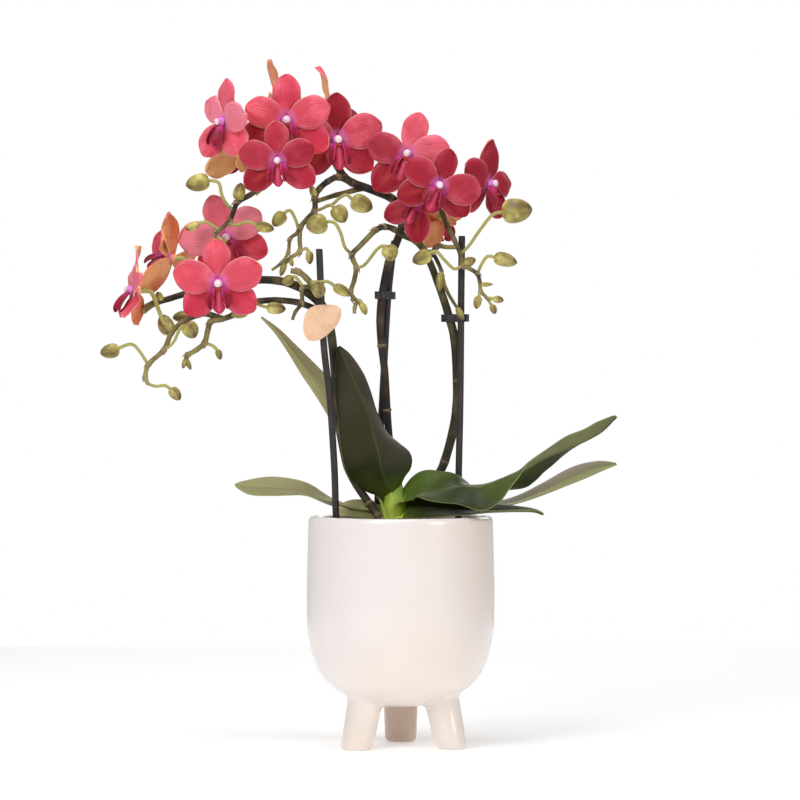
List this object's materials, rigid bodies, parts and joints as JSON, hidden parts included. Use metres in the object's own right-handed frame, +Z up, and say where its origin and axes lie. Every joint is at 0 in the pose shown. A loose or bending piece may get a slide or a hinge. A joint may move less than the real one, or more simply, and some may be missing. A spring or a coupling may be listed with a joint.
{
  "type": "potted orchid",
  "caption": "Potted moth orchid: arching spikes of coral-red flowers and buds held by stakes, strap leaves and bark in a cream glazed pot with stub feet, for a table display.",
  "frame": {"origin": "on the table, in the middle of the box that the whole plant fills", "axes": "+Z up, along the pot's axis; -Y towards the side that the flowers face; +X to the right, seen from there"},
  "size_m": [0.2872, 0.1084, 0.3868],
  "materials": {
    "glaze": "gloss",
    "clear_plastic": "gloss",
    "bark": "rough",
    "sheath": "satin",
    "leaf": "satin",
    "stem": "matte",
    "petals": "matte",
    "lip": "satin",
    "stake": "matte",
    "clip": "satin",
    "tag": "matte"
  },
  "bodies": {
    "root": {"pot": "glaze", "grow_pot": "clear_plastic", "bark": "bark", "crown": "sheath", "stake_left": "stake", "stake_middle": "stake", "stake_right": "stake", "spike_left": "stem", "spike_middle": "stem", "spike_right": "stem", "clip_middle": "clip", "clip_right": "clip", "tag": "tag", "leaf_left_back": "leaf", "leaf_upright": "leaf", "leaf_right_front": "leaf", "leaf_right_back": "leaf", "leaf_right_low": "leaf", "leaf_left_low": "leaf", "leaf_back": "leaf", "top_left_petals": "petals", "top_left_lip": "lip", "top_petals": "petals", "top_lip": "lip", "top_front_petals": "petals", "top_front_lip": "lip", "top_right_petals": "petals", "top_right_lip": "lip", "top_back_petals": "petals", "top_back_lip": "lip", "top_far_petals": "petals", "top_far_lip": "lip", "top_low_petals": "petals", "top_low_lip": "lip", "right_top_petals": "petals", "right_top_lip": "lip", "right_front_petals": "petals", "right_front_lip": "lip", "right_side_petals": "petals", "right_side_lip": "lip", "right_low_petals": "petals", "right_low_lip": "lip", "right_back_petals": "petals", "right_back_lip": "lip", "left_front_petals": "petals", "left_front_lip": "lip", "left_upper_petals": "petals", "left_upper_lip": "lip", "left_turned_petals": "petals", "left_turned_lip": "lip", "left_end_petals": "petals", "left_end_lip": "lip"}
  },
  "joints": []
}
